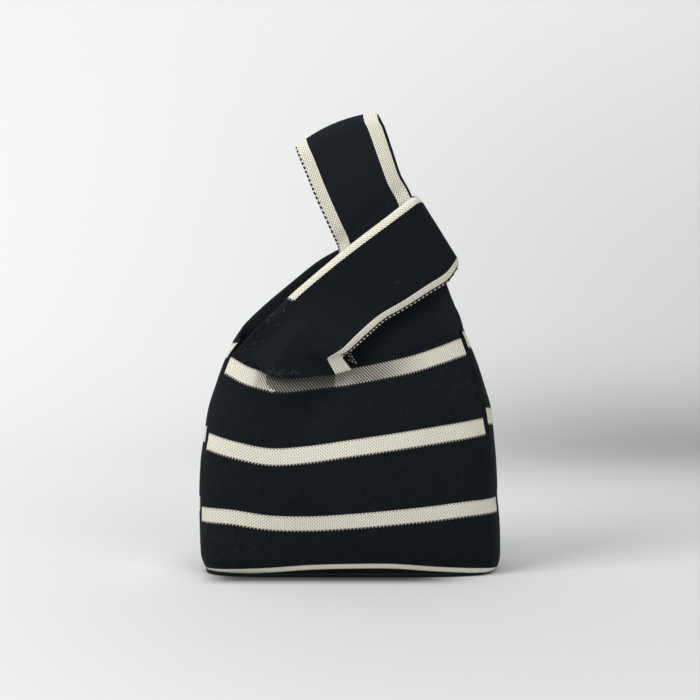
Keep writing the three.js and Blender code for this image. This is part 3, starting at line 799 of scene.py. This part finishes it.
short_even, short_length, short_t = evened(short_face)
# The short handle's own shade runs a little lighter than the body's, painted light for the light from above;
# within the range it varies at random
short = knit("short_handle_knit", short_even, SHORT_WALES, int(short_length / COURSE), 0.0, 1.0,
             short_colour, round_sides=(True, True), round_ends=(False, False), shade=(0.16, 0.52))
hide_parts("short_handle", "short_handle_outer_band", "short_handle_inner_band")
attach(short, "bag")

long_even, long_length, long_t = evened(long_face)
# The long handle's own shade runs much lighter, painted light for the light from above; within the range it
# varies at random
long_ = knit("long_handle_knit", long_even, LONG_WALES, int(long_length / COURSE), 0.0, 1.0, long_colour,
             dotted=True, round_sides=(True, True), round_ends=(False, False), shade=(0.7, 1.0),
             painted_light=long_painted_shadow)
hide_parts("long_handle_loop", "long_handle_loop_left_band", "long_handle_loop_right_band",
            *[f"long_handle_{s}_root{x}" for s in ("front", "back")
              for x in ("", "_inner_band", "_outer_band")])
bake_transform(long_)

for side in ("left", "right"):
    top = BANDS["front"][TOP_BAND][2][0 if side == "left" else -1] + BAND / 2
    ob = knit(f"{side}_seam_knit", lambda u, v, s=side: seam_face(s, u, v), SEAM_WALES,
              int(top / COURSE), 0.0, top, all_black, relief=1.5)
    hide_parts(f"{side}_side_seam")
    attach(ob, "bag")

base = knit("base_knit", base_face, BASE_WALES, BASE_COURSES, 0.0, 1.0, all_black, thick=BASE_THICK,
            relief=0.5, round_sides=(True, True))
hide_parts("base_panel")
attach(base, "bag")


# Studio, in metres: a pale floor that curves up into the backdrop
FLOOR_FRONT, FLOOR_BACK = -2.5, 0.55
SWEEP = 0.6                       # radius of the curve
WALL_TOP = 2.6
HALF_ROOM = 3.0
FLOOR_TONE, WALL_TONE = 0.58, 0.582
FLOOR_LEFT, WALL_LEFT = 0.034, 0.131    # painted light: how much lighter they are at the left, toward the window
WALL_HIGH = 0.145                 # painted light: how much lighter the wall is high up at the right
# Painted shade: the bag's shadow where the sweep turns up behind it, a soft spot in front of it, and the
# contact shadow along its foot
SWEEP_SHADE, FRONT_SHADE, CONTACT_SHADE = 0.26, 0.055, 0.88
LEFT_GLOW = 0.04                  # painted light on the floor beside the bag's left foot
LIGHTS = {  # place, what it points at, size and power
    "window": ((-1.45, -0.95, 1.4), (0, 0, 0.15), (1.2, 1.0), 38),
    "overhead": ((0.1, -0.1, 2.0), (0, 0, 0), (1.6, 1.6), 12),
    "front_fill": ((1.1, -1.7, 0.9), (0, 0, 0.15), (1.5, 1.0), 16.5)}
SKY_COLOUR, SKY_STRENGTH = (0.99, 0.99, 1.0, 1), 0.44


def studio_tone_and_painted_light(x, y, z):
    """Painted light and shade on the paper: lighter to the left and high up at the right, darker with painted
    shadow where the sweep turns up behind the bag, in front of it and along its foot, and a painted glow
    beside its left foot.
    """
    left, wall = fade(x, -0.45, 0.9), ramp(y + z, -0.05, 0.65)
    floor_tone = FLOOR_TONE + FLOOR_LEFT * left
    wall_tone = WALL_TONE + WALL_LEFT * left + WALL_HIGH * ramp(z, 0.1, 0.5) * (1 - left)
    tone_and_painted_light = floor_tone * (1 - wall) + wall_tone * wall
    tone_and_painted_light = tone_and_painted_light - SWEEP_SHADE * bell(x, 0.34, 0.34) * bell(y + z, 0.62, 0.2)
    tone_and_painted_light = tone_and_painted_light - FRONT_SHADE * bell(x, 0, 0.25) * bell(y, -0.25, 0.3)
    tone_and_painted_light = tone_and_painted_light + LEFT_GLOW * bell(x, -0.145, 0.035) * bell(y, 0, 0.07)
    under = ramp(x, -0.114, 0.03) * fade(x, 0.045, 0.055) * ramp(-y, 0, 0.02) * (z < 0.01)
    return tone_and_painted_light * (1 - CONTACT_SHADE * under * fade(-y, 0.0465, 0.025))


def studio():
    ground = np.union1d(np.linspace(FLOOR_FRONT, FLOOR_BACK, 32), np.linspace(-0.12, 0, 31))
    angle = np.linspace(0, math.pi / 2, 24)[1:]
    rise = np.linspace(SWEEP + 0.1, WALL_TOP, 10)
    y = np.concatenate([ground, FLOOR_BACK + SWEEP * np.sin(angle), np.full(len(rise), FLOOR_BACK + SWEEP)])
    z = np.concatenate([0 * ground, SWEEP - SWEEP * np.cos(angle), rise])
    x = np.linspace(-HALF_ROOM, HALF_ROOM, 601)
    X, Y, Z = np.broadcast_arrays(x[:, None], y[None], z[None])
    me = bpy.data.meshes.new("floor")
    faces = cells(np.arange(X.size).reshape(X.shape))
    me.from_pydata(np.stack([X, Y, Z], -1).reshape(-1, 3).tolist(), [], faces.tolist())
    me.polygons.foreach_set("use_smooth", np.ones(len(me.polygons), bool))
    colour = np.ones((X.size, 4))
    colour[:, :3] = studio_tone_and_painted_light(X, Y, Z).reshape(-1, 1) * np.array([0.99, 1.0, 1.0])
    me.color_attributes.new("tone_and_painted_light", "FLOAT_COLOR", "POINT").data.foreach_set("color", colour.ravel())
    ob = bpy.data.objects.new("floor", me)
    bpy.context.collection.objects.link(ob)
    me.materials.append(paper_material())


def paper_material():
    m = bpy.data.materials.new("floor_paper")
    m.use_nodes = True
    nodes = m.node_tree.nodes
    surface = nodes["Principled BSDF"].inputs
    tone_and_painted_light = nodes.new("ShaderNodeVertexColor")
    tone_and_painted_light.layer_name = "tone_and_painted_light"
    m.node_tree.links.new(tone_and_painted_light.outputs["Color"], surface["Base Color"])
    surface["Roughness"].default_value = 0.9
    surface["Specular IOR Level"].default_value = 0.1
    return m


def area(name, place, target, size, energy):
    light = bpy.data.lights.new(name, "AREA")
    light.shape = "RECTANGLE"
    light.size, light.size_y = size
    light.energy = energy
    ob = bpy.data.objects.new(name, light)
    bpy.context.collection.objects.link(ob)
    ob.location = place
    ob.rotation_euler = (Vector(target) - Vector(place)).to_track_quat("-Z", "Y").to_euler()


studio()
for name, light in LIGHTS.items():
    area(name, *light)
scene = bpy.context.scene
scene.view_settings.view_transform = "Standard"
if not scene.world:
    scene.world = bpy.data.worlds.new("studio")
scene.world.use_nodes = True
sky = scene.world.node_tree.nodes["Background"].inputs
sky["Color"].default_value = SKY_COLOUR
sky["Strength"].default_value = SKY_STRENGTH

# Camera, at the photo's place
DISTANCE, ELEVATION = 1.7, math.radians(6)
PIXEL, PIXELS = 0.75 * MM, 700    # size of a pixel at the target, and the picture's width
AIM = Vector((0.0011, 0.0, 0.1646))
camera = bpy.data.cameras.new("camera")
camera.sensor_width = 36
camera.lens = camera.sensor_width * (DISTANCE / PIXEL) / PIXELS
eye = bpy.data.objects.new("camera", camera)
bpy.context.collection.objects.link(eye)
eye.location = AIM + Vector((0, -DISTANCE * math.cos(ELEVATION), DISTANCE * math.sin(ELEVATION)))
eye.rotation_euler = (AIM - eye.location).to_track_quat("-Z", "Y").to_euler()
scene.camera = eye
